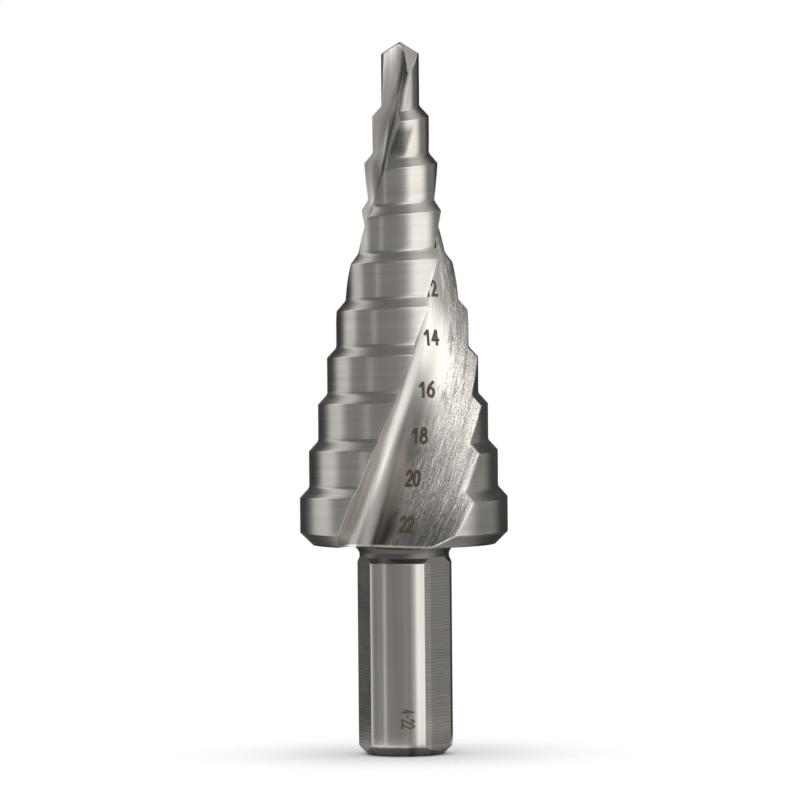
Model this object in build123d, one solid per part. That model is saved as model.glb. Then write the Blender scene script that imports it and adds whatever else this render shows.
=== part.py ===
from build123d import *
import math
import os

# Step drill bit, millimetres. The Z axis is the drill's own axis and points to the tip.
# The origin is the centre of the shank's end. Azimuths are in degrees, anticlockwise from +X.

# Lengths along the axis, each one from the end of the one before it
shank_length = 20.4
neck_length = 1.9
largest_step_length = 5.28
step_pitch = 5.0
tip_length = 7.8

# Steps: each one is a plain land under a chamfer that leads in from the smaller step
smallest_diameter = 4.0
diameter_step = 2.0
step_count = 10
chamfer_height = 1.1
back_chamfer_radial = 1.3
back_chamfer_height = 1.3

# Axial relief: how far each cutting chamfer falls from its leading edge to its heel
relief_drop = 0.56

# Shank, flats and neck. The end chamfer and the neck's shoulder are slightly crowned.
shank_diameter = 10.0
shank_end_chamfer = 1.0
flat_count = 3
flat_distance = 4.55
flat_overrun = 0.65
first_flat_azimuth = -161.0
neck_diameter = 9.5
neck_shoulder = 0.55
neck_flare = 0.9
neck_flare_bow = 0.09
shoulder_crown = 0.02

# Flutes: a straight rake wall and a crowned wide wall that meet in a filleted root.
# Each pair holds the value at the back face and the value at the tip.
flute_count = 2
root_radius = (5.76, 0.39)
root_fillet = (1.9, 2.5)
rake_wall_lean = (45.0, -8.0)
wide_wall_turn = (94.9, 103.4)
wide_wall_crown = 16.0
root_azimuth = -155.7
twist_per_mm = 2.53
twist_growth = 0.023
flute_sections = 14
flute_below_back = 0.6

# Point: two ground flanks on each lip. The heel flank falls in one direction only, which is
# turned back from square to the lip, and starts at the facet width from the axis.
point_angle = 118.0
lip_clearance = 14.0
heel_clearance = 68.0
heel_flank_turn = 20.0
lip_facet_width = 0.62

# Sizes that follow from those above
radial_step = diameter_step / 2
step_radii = [smallest_diameter / 2 + radial_step * i for i in range(step_count)]
largest_radius = step_radii[-1]
back_face_height = shank_length + neck_length
largest_ring_height = back_face_height + largest_step_length
largest_foot = (back_face_height + back_chamfer_height + largest_ring_height) / 2
overall_length = largest_ring_height + step_pitch * (step_count - 2) + tip_length
flute_length = overall_length - back_face_height
wall_reach = 1.5 * largest_radius


def ring_height(index):
    """Height of the sharp corner that starts the step of that index, smallest first."""
    return largest_ring_height + step_pitch * (step_count - 1 - index)


def along(pair, height):
    """The value of a (back face, tip) pair at a height."""
    share = (height - back_face_height) / flute_length
    return pair[0] + (pair[1] - pair[0]) * share


def polar(radius, degrees):
    """Plane coordinates of a radius and an azimuth."""
    return (
        radius * math.cos(math.radians(degrees)),
        radius * math.sin(math.radians(degrees)),
    )


def moved(point, distance, degrees):
    """A point shifted by a distance in a direction."""
    step = polar(distance, degrees)
    return (point[0] + step[0], point[1] + step[1])


def root_direction(height):
    """Azimuth of the flute's root at a height."""
    rise = height - back_face_height
    return root_azimuth + twist_per_mm * rise + twist_growth * rise * rise


def flute_edges(height, radius):
    """Azimuths where the rake wall and the wide wall cross a circle around the axis."""
    root = root_direction(height)
    rake = root + along(rake_wall_lean, height)
    wide = root + along(wide_wall_turn, height)
    depth = along(root_radius, height)
    offset = depth * math.sin(math.radians(root - rake))
    leading = rake + math.degrees(math.asin(max(-1.0, min(1.0, offset / radius))))
    centre = moved(polar(depth, root), wide_wall_crown, wide + 90)
    reach = math.hypot(*centre)
    bearing = math.degrees(math.atan2(centre[1], centre[0]))
    cosine = (radius**2 + reach**2 - wide_wall_crown**2) / (2 * radius * reach)
    heel = bearing - math.degrees(math.acos(max(-1.0, min(1.0, cosine))))
    while heel < leading:
        heel += 360
    while heel > leading + 360:
        heel -= 360
    return leading, heel


def flute_section(height):
    """Outline of one flute at a height: rake wall, root fillet, wide wall and a far arc."""
    root = root_direction(height)
    rake = root + along(rake_wall_lean, height)
    wide = root + along(wide_wall_turn, height)
    fillet_size = along(root_fillet, height)
    apex = polar(along(root_radius, height), root)
    crown_centre = moved(apex, wide_wall_crown, wide + 90)
    start = moved(apex, fillet_size, rake + 90)
    gap = (start[0] - crown_centre[0], start[1] - crown_centre[1])
    heading = polar(1.0, rake)
    across = gap[0] * heading[0] + gap[1] * heading[1]
    spread = (wide_wall_crown + fillet_size) ** 2 - gap[0] ** 2 - gap[1] ** 2
    slide = math.sqrt(across * across + spread) - across
    fillet_centre = moved(start, slide, rake)
    rake_tangent = moved(apex, slide, rake)
    toward = math.atan2(
        fillet_centre[1] - crown_centre[1],
        fillet_centre[0] - crown_centre[0],
    )
    wide_tangent = moved(crown_centre, wide_wall_crown, math.degrees(toward))
    chord_middle = (
        (rake_tangent[0] + wide_tangent[0]) / 2 - fillet_centre[0],
        (rake_tangent[1] + wide_tangent[1]) / 2 - fillet_centre[1],
    )
    inward = math.degrees(math.atan2(chord_middle[1], chord_middle[0]))
    fillet_middle = moved(fillet_centre, fillet_size, inward)
    wall_turn = math.degrees(wall_reach / wide_wall_crown)
    wide_middle = moved(crown_centre, wide_wall_crown, wide - 90 + wall_turn / 2)
    wide_end = moved(crown_centre, wide_wall_crown, wide - 90 + wall_turn)
    rake_end = moved(apex, wall_reach, rake)
    far_point = moved(apex, 1.5 * wall_reach, (rake + wide + wall_turn / 2) / 2)
    plane = Plane.XY.offset(height)

    def at(point):
        return plane.from_local_coords(point)

    edges = [
        Edge.make_line(at(rake_end), at(rake_tangent)),
        Edge.make_three_point_arc(at(rake_tangent), at(fillet_middle), at(wide_tangent)),
        Edge.make_three_point_arc(at(wide_tangent), at(wide_middle), at(wide_end)),
        Edge.make_three_point_arc(at(wide_end), at(far_point), at(rake_end)),
    ]
    return Wire(edges)


def turned(points):
    """Solid of revolution about Z from (radius, height) points."""
    outline = [(radius, 0, height) for radius, height in points]
    profile = Face(Wire.make_polygon(outline, close=True))
    return Solid.revolve(profile, 360, Axis.Z)


def crowned(low, high):
    """A nearly straight edge between two (radius, height) points, bowed outwards a little."""
    rise = (high[0] - low[0], high[1] - low[1])
    bow = shoulder_crown / math.hypot(*rise)
    middle = (
        (low[0] + high[0]) / 2 + rise[1] * bow,
        0,
        (low[1] + high[1]) / 2 - rise[0] * bow,
    )
    return Edge.make_three_point_arc((low[0], 0, low[1]), middle, (high[0], 0, high[1]))


def step_half(index, side):
    """One land's half of a step, with its chamfer falling away from the leading edge."""
    radius = step_radii[index]
    inner = step_radii[index - 1]
    ring = ring_height(index)
    slope = chamfer_height / radial_step
    foot = largest_foot if index == step_count - 1 else ring_height(index + 1)
    crest = ring + 1.5 * chamfer_height
    leading, heel = flute_edges(ring, radius)
    land_angle = leading + 360 / flute_count - heel
    land_middle = leading + side * 360 / flute_count - land_angle / 2
    half_land = math.sin(math.radians(land_angle / 2))
    tilt = math.degrees(relief_drop / (2 * radius * half_land))
    pivot = ring - relief_drop / 2
    cone = turned(
        [
            (0, foot - 4),
            (radius + 3, foot - 4),
            (radius + 3, pivot - 3 * slope),
            (inner - radial_step / 2, pivot + 1.5 * chamfer_height),
            (0, pivot + 1.5 * chamfer_height),
        ]
    )
    tilt_axis = Axis((0, 0, pivot), (*polar(1.0, land_middle), 0))
    cone = cone.rotate(tilt_axis, tilt)
    body = Solid.make_cylinder(radius, crest - foot, Plane.XY.offset(foot))
    body = (body & cone).solid()
    keep = Solid.make_box(
        4 * largest_radius,
        2 * largest_radius,
        2 * overall_length,
        Plane((0, 0, -5), x_dir=(1, 0, 0)),
    )
    keep = keep.moved(Location((-2 * largest_radius, 0, 0)))
    flute_middle = (leading + heel) / 2 + side * 360 / flute_count
    keep = keep.rotate(Axis.Z, flute_middle - 180)
    return (body & keep).solid()


# Blank: shank, neck, back chamfer and the step lands
shank_radius = shank_diameter / 2
neck_radius = neck_diameter / 2
back_edge_radius = largest_radius - back_chamfer_radial
flare_foot = back_face_height - neck_flare
flare_middle = neck_flare / 2 - neck_flare_bow
end_radius = shank_radius - shank_end_chamfer
core_outline = [
    Edge.make_line((0, 0, 0), (end_radius, 0, 0)),
    crowned((end_radius, 0), (shank_radius, shank_end_chamfer)),
    Edge.make_line((shank_radius, 0, shank_end_chamfer), (shank_radius, 0, shank_length)),
    crowned((shank_radius, shank_length), (neck_radius, shank_length + neck_shoulder)),
    Edge.make_line(
        (neck_radius, 0, shank_length + neck_shoulder),
        (neck_radius, 0, flare_foot),
    ),
    Edge.make_three_point_arc(
        (neck_radius, 0, flare_foot),
        (neck_radius + flare_middle, 0, back_face_height - flare_middle),
        (neck_radius + neck_flare, 0, back_face_height),
    ),
    *Wire.make_polygon(
        [
            (neck_radius + neck_flare, 0, back_face_height),
            (back_edge_radius, 0, back_face_height),
            (largest_radius, 0, back_face_height + back_chamfer_height),
            (largest_radius, 0, largest_foot),
            (0, 0, largest_foot),
            (0, 0, 0),
        ],
        close=False,
    ).edges(),
]
core = Solid.revolve(Face(Wire(core_outline)), 360, Axis.Z)
tip_step = Solid.make_cylinder(
    step_radii[0],
    overall_length + 1 - ring_height(1),
    Plane.XY.offset(ring_height(1)),
)
halves = [step_half(i, side) for i in range(1, step_count) for side in range(flute_count)]
blank = core.fuse(tip_step, *halves).solid()

# Flutes: the same twisted cutter, turned about the axis for each flute
low = back_face_height - flute_below_back
high = overall_length + 2
spacing = (high - low) / (flute_sections - 1)
flute = Solid.make_loft([flute_section(low + spacing * i) for i in range(flute_sections)])
flutes = [flute.rotate(Axis.Z, 360 / flute_count * i) for i in range(flute_count)]
drill = blank.cut(*flutes).solid()

# Point: behind each lip a clearance flank, then a steeper heel flank
lip_azimuth = flute_edges(overall_length - 1.5, step_radii[0])[0]
lip_slope = 1 / math.tan(math.radians(point_angle / 2))
for i in range(flute_count):
    lip = lip_azimuth + 360 / flute_count * i
    out = Vector(*polar(1.0, lip), 0)
    back = Vector(*polar(1.0, lip - 90), 0)
    away = Vector(*polar(1.0, lip - 90 - heel_flank_turn), 0)
    up = Vector(0, 0, 1)
    apex = Vector(0, 0, overall_length)
    lip_normal = up + out * lip_slope + back * math.tan(math.radians(lip_clearance))
    heel_normal = up + away * math.tan(math.radians(heel_clearance))
    heel_start = apex + away * lip_facet_width
    drill = drill.split(Plane(origin=apex, z_dir=lip_normal), keep=Keep.BOTTOM)
    drill = drill.split(Plane(origin=heel_start, z_dir=heel_normal), keep=Keep.BOTTOM)

# Shank flats, which run up onto the neck
for i in range(flat_count):
    azimuth = first_flat_azimuth + 360 / flat_count * i
    corner = moved(polar(flat_distance, azimuth), shank_diameter, azimuth - 90)
    plane = Plane(
        origin=(*corner, -1),
        x_dir=(*polar(1.0, azimuth + 90), 0),
        z_dir=(*polar(1.0, azimuth), 0),
    )
    side = Solid.make_box(
        2 * shank_diameter,
        shank_length + flat_overrun + 1,
        shank_diameter,
        plane,
    )
    drill = drill.cut(side)

os.makedirs("parts", exist_ok=True)
export_step(drill, "parts/step_drill_bit.step")
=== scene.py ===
import math

import bpy
import numpy as np
from mathutils import Matrix, Vector


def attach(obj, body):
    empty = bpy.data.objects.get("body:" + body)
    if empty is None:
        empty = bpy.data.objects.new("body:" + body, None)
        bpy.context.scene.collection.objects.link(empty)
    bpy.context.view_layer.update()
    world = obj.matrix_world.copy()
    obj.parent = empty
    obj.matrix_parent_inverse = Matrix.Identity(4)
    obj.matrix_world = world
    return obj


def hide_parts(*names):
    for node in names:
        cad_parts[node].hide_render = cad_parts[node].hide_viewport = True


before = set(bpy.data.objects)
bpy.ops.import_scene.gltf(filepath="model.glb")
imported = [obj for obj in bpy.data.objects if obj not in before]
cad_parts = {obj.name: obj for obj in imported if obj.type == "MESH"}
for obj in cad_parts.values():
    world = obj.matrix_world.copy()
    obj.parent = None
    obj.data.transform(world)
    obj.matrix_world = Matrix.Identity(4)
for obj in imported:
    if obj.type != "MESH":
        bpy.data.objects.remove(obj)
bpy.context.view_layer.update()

# Step drill bit. All sizes are millimetres on the frame's axes until a mesh is written.
# Azimuths are degrees anticlockwise from +X. Studio angles are degrees to the right of
# the camera, measured round the drill's axis.
MM = 0.001
NODE = "step_drill_bit"
OWN_MAP = "surface_mm"
SHARP_ANGLE = 27.0

# Shank, flats and neck
SHANK_LENGTH = 20.4
SHANK_RADIUS = 5.0
END_CHAMFER = 1.0
FLAT_DISTANCE = 4.55
FLAT_TOP = SHANK_LENGTH + 0.65
FIRST_FLAT = -161.0
NECK_RADIUS = 4.75
NECK_SHOULDER = 0.55
NECK_FLARE = 0.9
NECK_FLARE_BOW = 0.09

# Steps: a plain land under a chamfer that leads in from the smaller step
BACK_HEIGHT = SHANK_LENGTH + 1.9
BACK_CHAMFER = (1.3, 1.3)
STEP_COUNT = 10
SMALLEST_RADIUS = 2.0
RADIAL_STEP = 1.0
STEP_PITCH = 5.0
LARGEST_RING = BACK_HEIGHT + 5.28
CHAMFER_HEIGHT = 1.1
RELIEF_DROP = 0.56
OVERALL = LARGEST_RING + STEP_PITCH * (STEP_COUNT - 2) + 7.8
FLUTE_LENGTH = OVERALL - BACK_HEIGHT

# Flutes: (value at the back face, value at the tip)
ROOT_RADIUS = (5.76, 0.39)
ROOT_FILLET = (1.9, 2.5)
RAKE_LEAN = (45.0, -8.0)
WIDE_TURN = (94.9, 103.4)
WIDE_CROWN = 16.0
ROOT_AZIMUTH = -155.7
TWIST_PER_MM = 2.53
TWIST_GROWTH = 0.023

# Point
POINT_ANGLE = 118.0
LIP_CLEARANCE = 14.0
HEEL_CLEARANCE = 68.0
HEEL_FLANK_TURN = 20.0
LIP_FACET = 0.62
LIP_DEPTH = 1.5

# Rounding of the edges
LEADING_BEVEL = 0.025
HEEL_BEVEL = 0.045
RING_ROUND = 0.06
VALLEY_ROUND = 0.22
FACE_BEVEL = 0.07
EDGE_ROUND = 0.05

# Columns of the head's grid in each half turn, and the share of its own surface at which
# each one lies. The wide wall's last column but one lies close to the heel.
RAKE_COLUMNS = 12
FILLET_COLUMNS = 14
WIDE_COLUMNS = 36
LAND_COLUMNS = 44
DEEPEST_COLUMN = RAKE_COLUMNS + FILLET_COLUMNS // 2
HEEL_COLUMN = RAKE_COLUMNS + FILLET_COLUMNS + WIDE_COLUMNS
HALF_COLUMNS = HEEL_COLUMN + LAND_COLUMNS
LAST_WIDE_SHARE = 0.988
SHARES = (
    np.linspace(0, 1, RAKE_COLUMNS + 1)[:-1],
    np.linspace(0, 1, FILLET_COLUMNS + 1)[:-1],
    np.append(np.linspace(0, LAST_WIDE_SHARE, WIDE_COLUMNS - 1), 1.0),
    np.linspace(0, 1, LAND_COLUMNS),
)


def heading(degrees):
    """Unit vectors in the plane at azimuths in degrees."""
    turn = np.radians(degrees)
    return np.stack([np.cos(turn), np.sin(turn)], axis=-1)


def scaled(length, direction):
    """Vectors of the given lengths along unit vectors."""
    return np.asarray(length)[..., None] * direction


def blend(pair, share):
    """Straight change from the first value of a pair to the second."""
    return pair[0] + (pair[1] - pair[0]) * share


def near(angle, centre):
    """The same angle, moved by whole turns to within half a turn of a centre."""
    return centre + (angle - centre + 180.0) % 360.0 - 180.0


def bearing(points):
    """Azimuths of plane vectors."""
    return np.degrees(np.arctan2(points[..., 1], points[..., 0]))


def meeting(radius, centre, arc):
    """Degrees, by the law of cosines, between a centre's own azimuth and the direction in
    which an arc round it meets a circle round the axis."""
    reach = np.hypot(centre[..., 0], centre[..., 1])
    cosine = (radius**2 - reach**2 - arc**2) / (2 * arc * reach)
    return np.degrees(np.arccos(np.clip(cosine, -1, 1)))


def lifted(plane, height):
    """Points in the plane raised to heights."""
    height = np.broadcast_to(height, plane.shape[:-1])
    return np.concatenate([plane, height[..., None]], axis=-1)


def run_along(points):
    """Length run from the first point to each, along the first axis."""
    step = np.diff(points, axis=0, prepend=points[:1])
    return np.cumsum(np.linalg.norm(step, axis=-1), axis=0)


class Flute:
    """One flute's section at the given heights: a straight rake wall that leaves the apex
    at the rake azimuth, a root fillet tangent to it, and a wide wall that is an arc round
    a crown centre. The apex turns round the axis by a quadratic in the height."""

    def __init__(self, height):
        rise = height - BACK_HEIGHT
        share = rise / FLUTE_LENGTH
        self.root = ROOT_AZIMUTH + TWIST_PER_MM * rise + TWIST_GROWTH * rise**2
        self.rake = self.root + blend(RAKE_LEAN, share)
        wide = self.root + blend(WIDE_TURN, share)
        self.depth = blend(ROOT_RADIUS, share)
        self.fillet = blend(ROOT_FILLET, share)
        self.apex = scaled(self.depth, heading(self.root))
        self.crown = self.apex + WIDE_CROWN * heading(wide + 90)
        gap = self.apex + scaled(self.fillet, heading(self.rake + 90)) - self.crown
        across = (gap * heading(self.rake)).sum(axis=-1)
        spread = (WIDE_CROWN + self.fillet) ** 2 - (gap**2).sum(axis=-1)
        self.slide = np.sqrt(across**2 + spread) - across
        self.fillet_centre = gap + self.crown + scaled(self.slide, heading(self.rake))
        self.toward = near(bearing(self.fillet_centre - self.crown), self.root)

    def near_side(self, radius, share, inset=LEADING_BEVEL):
        """Points from the circle of that radius (0) to the wide wall (1), along the rake
        wall and then the fillet arc. The rake wall's columns take its own length, or a
        sixth of the way where the circle leaves little of it, and the fillet's the rest.
        A share of 0 to 1 counts the rake wall's columns, and 1 to 2 the fillet's."""
        lean = np.radians(self.rake - self.root)
        reach = np.sqrt(radius**2 - (self.depth * np.sin(lean)) ** 2)
        outer = reach - self.depth * np.cos(lean)
        crossing = bearing(self.fillet_centre)
        crossing = crossing - meeting(radius, self.fillet_centre, self.fillet)
        start = self.rake - 90
        first = np.where(outer > self.slide, start, near(crossing, start))
        last = near(self.toward - 180, start - 60)
        bend = self.fillet * np.radians(first - last)
        wall = np.maximum(outer - self.slide, 0)
        whole = wall + bend - inset
        split = np.maximum(wall - inset, whole / 6)
        on_split = split + (whole - split) * (share - 1)
        run = np.where(share < 1, split * share, on_split) + inset
        on_wall = self.apex + scaled(self.slide + wall - run, heading(self.rake))
        turn = first - np.degrees(np.maximum(run - wall, 0) / self.fillet)
        on_fillet = self.fillet_centre + scaled(self.fillet, heading(turn))
        return np.where((run < wall)[..., None], on_wall, on_fillet)

    def wide_wall(self, radius, share, inset=HEEL_BEVEL):
        """Points on the wide wall's arc, from the fillet (0) to the circle (1)."""
        back = near(bearing(self.crown), self.root + 180)
        last = back - meeting(radius, self.crown, WIDE_CROWN)
        last = last - math.degrees(inset / WIDE_CROWN)
        turn = self.toward + (last - self.toward) * share
        return self.crown + WIDE_CROWN * heading(turn)

    def leading(self, radius):
        """Azimuth of the rake wall's edge on a circle."""
        ends = self.near_side(radius, np.zeros_like(radius), inset=0.0)
        return near(bearing(ends), self.rake)

    def straight_leading(self, radius):
        """The same azimuth for the rake wall drawn on without its fillet."""
        lean = np.radians(self.rake - self.root)
        return self.rake - np.degrees(np.arcsin(self.depth * np.sin(lean) / radius))

    def heel(self, radius):
        """Azimuth of the wide wall's edge on a circle."""
        ends = self.wide_wall(radius, np.ones_like(radius), inset=0.0)
        return near(bearing(ends), self.root + 60)


def point_height(points):
    """Height of the point at plane positions: the lowest of the two flanks of both lips.
    A lip's own flank is a plane through the apex that falls outwards along the lip and
    gently behind it. The heel flank falls in one direction only, turned further back, and
    starts at the facet's width from the axis."""
    at = np.array([OVERALL - LIP_DEPTH])
    lip = Flute(at).straight_leading(np.array([SMALLEST_RADIUS]))[0]
    slope = 1 / math.tan(math.radians(POINT_ANGLE / 2))
    lowest = np.full(points.shape[:-1], np.inf)
    for turn in (0, 180):
        out, back = heading(lip + turn), heading(lip + turn - 90)
        away = heading(lip + turn - 90 - HEEL_FLANK_TURN)
        lip_fall = slope * (points @ out)
        lip_fall = lip_fall + math.tan(math.radians(LIP_CLEARANCE)) * (points @ back)
        heel_fall = math.tan(math.radians(HEEL_CLEARANCE)) * (points @ away - LIP_FACET)
        lowest = np.minimum(lowest, OVERALL - np.maximum(lip_fall, heel_fall))
    return lowest


def quadratic(start, corner, end, share):
    """A curve that leaves its start toward a corner and comes to its end from there."""
    return (1 - share) ** 2 * start + 2 * share * (1 - share) * corner + share**2 * end


def rounded(corners, counts, rounds):
    """Rows along a profile of (height, radius, drop) corners. Each stretch is divided
    evenly, and each inner corner is a quadratic curve that starts and ends at the
    rounding's length from it. Gives the rows and the number of the stretch of each."""
    corners = np.array(corners, dtype=float)
    starts, ends = corners[:-1].copy(), corners[1:].copy()
    rows, bands = [], []
    for i, (start, end) in enumerate(zip(corners[:-1], corners[1:])):
        length = np.hypot(*(end - start)[:2])
        first = rounds[i] / length if i else 0.0
        last = rounds[i + 1] / length if i + 2 < len(corners) else 0.0
        starts[i] = start + (end - start) * first
        ends[i] = end - (end - start) * last
    for i in range(len(starts)):
        share = np.linspace(0, 1, counts[i])[:, None]
        rows.append(starts[i] + (ends[i] - starts[i]) * share)
        bands += [i] * counts[i]
        if i + 1 < len(starts):
            bend = np.array([1 / 3, 2 / 3])[:, None]
            rows.append(quadratic(ends[i], corners[i + 1], starts[i + 1], bend))
            bands += [i] * 2
    return np.concatenate(rows), np.array(bands)


def half_turn(heights, radii):
    """Points of one flute and the land after it, one row per radius and one column per
    share: rake wall, root fillet, wide wall, land. Heights are given for every point."""
    rake, fillet, wide, land = SHARES
    stops = [RAKE_COLUMNS, HEEL_COLUMN - WIDE_COLUMNS, HEEL_COLUMN]
    parts = np.split(heights, stops, axis=1)
    radius = radii[:, None]
    flat = [
        Flute(parts[0]).near_side(radius, rake[None, :]),
        Flute(parts[1]).near_side(radius, 1 + fillet[None, :]),
        Flute(parts[2]).wide_wall(radius, wide[None, :]),
    ]
    heel = Flute(parts[3][:, :1]).heel(radius) + np.degrees(HEEL_BEVEL / radius)
    leading = Flute(parts[3][:, -1:]).leading(radius) + 180
    leading = near(leading, heel + 90) - np.degrees(LEADING_BEVEL / radius)
    azimuth = heel + (leading - heel) * land[None, :]
    flat.append(scaled(radius * np.ones_like(azimuth), heading(azimuth)))
    return lifted(np.concatenate(flat, axis=1), heights)


def fall_shares(land_angle):
    """How far each column lies along the relief: 0 at a leading edge, 1 at a heel. On a
    land it follows a tilted circle, and across a flute it runs smoothly back."""
    half = math.radians(land_angle / 2)
    on_land = 0.5 * (1 - np.sin((2 * SHARES[3] - 1) * half) / math.sin(half))
    return np.concatenate([ramp(np.linspace(0, 1, HEEL_COLUMN), 0, 1), on_land])


def whole_turn(half):
    """A half turn and its copy on the other side of the axis."""
    other = half * np.array([-1.0, -1.0, 1.0])
    return np.concatenate([half, other], axis=1)


def inward(outline, radius, count):
    """Rings between a closed plane outline and a circle inside it, outline left out. The
    circle's points are spread by the outline's own length and anchored where the root
    fillet is deepest."""
    step = np.linalg.norm(np.roll(outline, -1, axis=0) - outline, axis=1)
    run = np.concatenate([[0], np.cumsum(step)[:-1]]) / step.sum() * 360
    turn = run - run[DEEPEST_COLUMN] + bearing(outline[DEEPEST_COLUMN])
    share = np.linspace(0, 1, count + 1)[1:, None, None]
    return outline + (radius * heading(turn) - outline) * share


def new_piece(name, points, faces, materials, values):
    """An object from points in millimetres, with its materials and the given named values
    on every point."""
    mesh = bpy.data.meshes.new(name)
    mesh.from_pydata((points * MM).tolist(), [], faces)
    for material in materials:
        mesh.materials.append(material)
    for label, value in values.items():
        layer = mesh.attributes.new(label, "FLOAT", "POINT")
        layer.data.foreach_set("value", value.astype(np.float32))
    piece = bpy.data.objects.new(name, mesh)
    bpy.context.scene.collection.objects.link(piece)
    return piece


def on_object(piece):
    """Declares a finished piece as part of the drill."""
    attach(piece, "root")
    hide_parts(NODE)
    return piece


def ring_faces(rows, columns):
    """Quads of a grid that closes on itself round the axis, facing outwards."""
    row, column = np.meshgrid(np.arange(rows - 1), np.arange(columns), indexing="ij")
    beside = (column + 1) % columns
    low, high = row * columns, (row + 1) * columns
    faces = np.stack([low + column, low + beside, high + beside, high + column], axis=-1)
    return faces.reshape(-1, 4)


def ground_piece(name, grid, closing, steels, regions, own_map, values):
    """A ground surface of the drill, smooth except where it turns quickly: a grid of
    rings with a region for every quad, closed by a fan of triangles. The closing gives
    the fan's centre, the ring that it joins and its region. Each value comes with the
    centre's own."""
    centre, ring, fan_region = closing
    apex = np.full(len(ring), grid[..., 0].size)
    fan = np.stack([ring, np.roll(ring, -1), apex], axis=-1)
    piece = new_piece(
        name,
        np.concatenate([grid.reshape(-1, 3), [centre]]),
        ring_faces(*grid.shape[:2]).tolist() + fan.tolist(),
        steels,
        {label: np.append(*value) for label, value in values.items()},
    )
    mesh = piece.data
    face_steel = np.append(regions, np.full(len(fan), fan_region))
    mesh.polygons.foreach_set("material_index", face_steel.astype(np.int32))
    corner_points = np.empty(len(mesh.loops), dtype=np.int32)
    mesh.loops.foreach_get("vertex_index", corner_points)
    own_map = np.append(own_map, [0.0, 0.0]).reshape(-1, 2)[corner_points]
    layer = mesh.uv_layers.new(name=OWN_MAP)
    layer.data.foreach_set("uv", own_map.astype(np.float32).ravel())
    mesh.polygons.foreach_set("use_smooth", np.ones(len(mesh.polygons), dtype=bool))
    mesh.update()
    mesh.set_sharp_from_angle(angle=math.radians(SHARP_ANGLE))
    return on_object(piece)


def ramp(value, low, high):
    """Smooth rise from 0 to 1 between two values: s x s x (3 - 2 s)."""
    share = np.clip((value - low) / (high - low), 0, 1)
    return share * share * (3 - 2 * share)


def soft_window(value, low, high, softness):
    """1 between two values, falling smoothly to 0 over the softness at each end."""
    half = softness / 2
    fall = ramp(value, high - half, high + half)
    return ramp(value, low - half, low + half) * (1 - fall)


# Materials --------------------------------------


# Where a value is at hand, its id_data is the tree that the new node goes into.


def fill(made, links):
    """Fills a node's sockets with values and links what feeds them."""
    for socket, source in dict(links).items():
        if isinstance(source, bpy.types.NodeSocket):
            made.id_data.links.new(source, made.inputs[socket])
        else:
            made.inputs[socket].default_value = source


def node(tree, kind, links=(), **values):
    """Adds a shader node, sets its properties and fills its sockets."""
    made = tree.nodes.new("ShaderNode" + kind)
    for key, value in values.items():
        setattr(made, key, value)
    fill(made, links)
    return made


def maths(operation, first, second=0.0, clamp=False):
    """A Math node's result."""
    values = {"operation": operation, "use_clamp": clamp}
    return node(first.id_data, "Math", {0: first, 1: second}, **values).outputs[0]


def times(first, second, clamp=False):
    """A product of two values."""
    return maths("MULTIPLY", first, second, clamp)


def plus(first, second, clamp=False):
    """A sum of two values."""
    return maths("ADD", first, second, clamp)


def ranged(value, low, high, to_low=0.0, to_high=1.0, smooth=False):
    """A value carried from one range to another, clamped."""
    links = {0: value, 1: low, 2: high, 3: to_low, 4: to_high}
    curve = "SMOOTHSTEP" if smooth else "LINEAR"
    return node(value.id_data, "MapRange", links, interpolation_type=curve).outputs[0]


def mixed(share, first, second):
    """A colour between two others."""
    links = {0: share, 6: first, 7: second}
    return node(share.id_data, "Mix", links, data_type="RGBA").outputs[2]


def scaled_colour(colour, factor):
    """A colour made lighter or darker by a factor."""
    links = {0: colour, "Scale": factor}
    return node(colour.id_data, "VectorMath", links, operation="SCALE").outputs[0]


def noise(place, scale, detail, rough=0.5, flat=False):
    """Noise in space, at a scale per metre, or on a flat map, at a scale per unit."""
    links = {"Vector": place, "Scale": scale, "Detail": detail, "Roughness": rough}
    kind = "2D" if flat else "3D"
    return node(place.id_data, "TexNoise", links, noise_dimensions=kind).outputs[0]


def named_value(tree, label):
    """The value that the mesh stores on its points under a name."""
    return node(tree, "Attribute", attribute_name=label).outputs["Fac"]


def object_place(tree):
    """Position on the object, in metres."""
    return node(tree, "TexCoord").outputs["Object"]


def drawn_out(own_map, first, second):
    """A surface's own map with its two directions scaled by factors."""
    split = node(own_map.id_data, "SeparateXYZ", {0: own_map}).outputs
    links = {0: times(split[0], first), 1: times(split[1], second)}
    return node(own_map.id_data, "CombineXYZ", links).outputs[0]


def new_group(name, inputs, build):
    """A node group with named inputs, vectors where no value is given, and the named
    values that the build function makes of them as its result."""
    group = bpy.data.node_groups.new(name, "ShaderNodeTree")
    for label, value in inputs.items():
        kind = "NodeSocketVector" if value is None else "NodeSocketFloat"
        socket = group.interface.new_socket(label, in_out="INPUT", socket_type=kind)
        if value is not None:
            socket.default_value = value
    made = build(group.nodes.new("NodeGroupInput").outputs)
    for label in made:
        group.interface.new_socket(label, in_out="OUTPUT", socket_type="NodeSocketFloat")
    fill(group.nodes.new("NodeGroupOutput"), made)
    return group


def use_group(tree, group, links):
    """The outputs of a node group fed with the given values."""
    return node(tree, "Group", links, node_tree=group).outputs


def grinding_marks(given):
    """Lines left by the grinding wheel: noise drawn out along the wheel's path, as fine
    scratches and as broader bands. The surface's own map is in millimetres."""
    path = drawn_out(given["Vector"], given["Lines Along"], given["Lines Across"])
    coarse = noise(path, 0.6, 2.0, flat=True)
    return {
        "Fine": noise(path, 1.0, 4.0, 0.65, flat=True),
        "Bands": noise(path, 0.22, 3.0, 0.6, flat=True),
        "Scratch": ranged(coarse, 0.62, 0.75),
    }


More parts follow.
